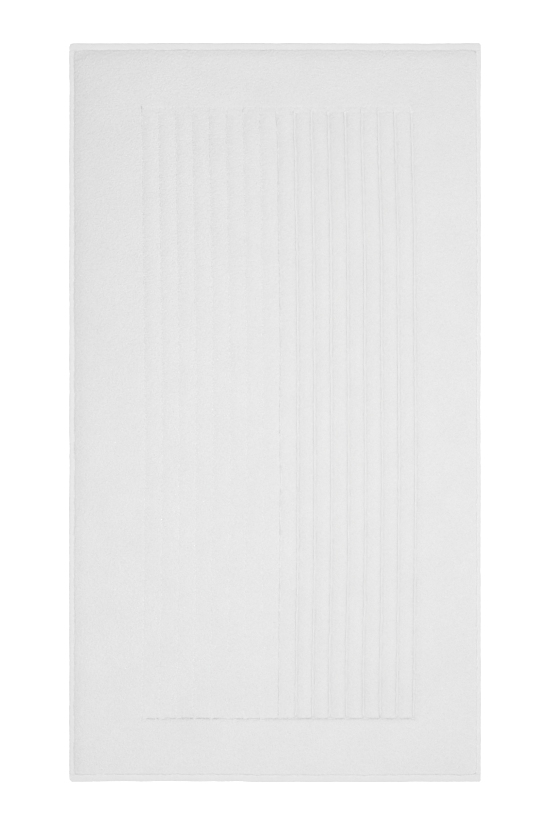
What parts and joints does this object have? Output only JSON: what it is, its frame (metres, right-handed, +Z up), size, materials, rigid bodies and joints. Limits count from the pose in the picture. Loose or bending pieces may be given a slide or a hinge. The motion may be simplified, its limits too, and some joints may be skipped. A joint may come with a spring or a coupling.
{
  "type": "bath mat",
  "caption": "Rectangular terry bath mat with a lengthwise ribbed centre panel, a plain pile border and turned, stitched edges.",
  "frame": {"origin": "middle of the mat's outline, on the floor under it", "axes": "+X across the mat, +Y along its length, +Z up from the floor through the pile"},
  "size_m": [0.5, 0.898, 0.005],
  "materials": {
    "terry_pile": "matte cotton loop pile, white",
    "reverse_terry": "matte short cotton loop pile, white",
    "ground_weave": "matte plain woven cotton, white",
    "hem_weave": "matte folded plain woven cotton, white",
    "sewing_thread": "slightly lustrous polyester sewing thread, white"
  },
  "bodies": {
    "root": {"ground_cloth": "ground_weave", "reverse_pile": "reverse_terry", "border_pile": "terry_pile", "rib_01": "terry_pile", "rib_02": "terry_pile", "rib_03": "terry_pile", "rib_04": "terry_pile", "rib_05": "terry_pile", "rib_06": "terry_pile", "rib_07": "terry_pile", "rib_08": "terry_pile", "rib_09": "terry_pile", "rib_10": "terry_pile", "rib_11": "terry_pile", "rib_12": "terry_pile", "rib_13": "terry_pile", "rib_14": "terry_pile", "rib_15": "terry_pile", "rib_16": "terry_pile", "hem_top": "hem_weave", "hem_bottom": "hem_weave", "hem_left": "hem_weave", "hem_right": "hem_weave", "hem_stitch_top": "sewing_thread", "hem_stitch_bottom": "sewing_thread", "hem_stitch_left": "sewing_thread", "hem_stitch_right": "sewing_thread"}
  },
  "joints": []
}
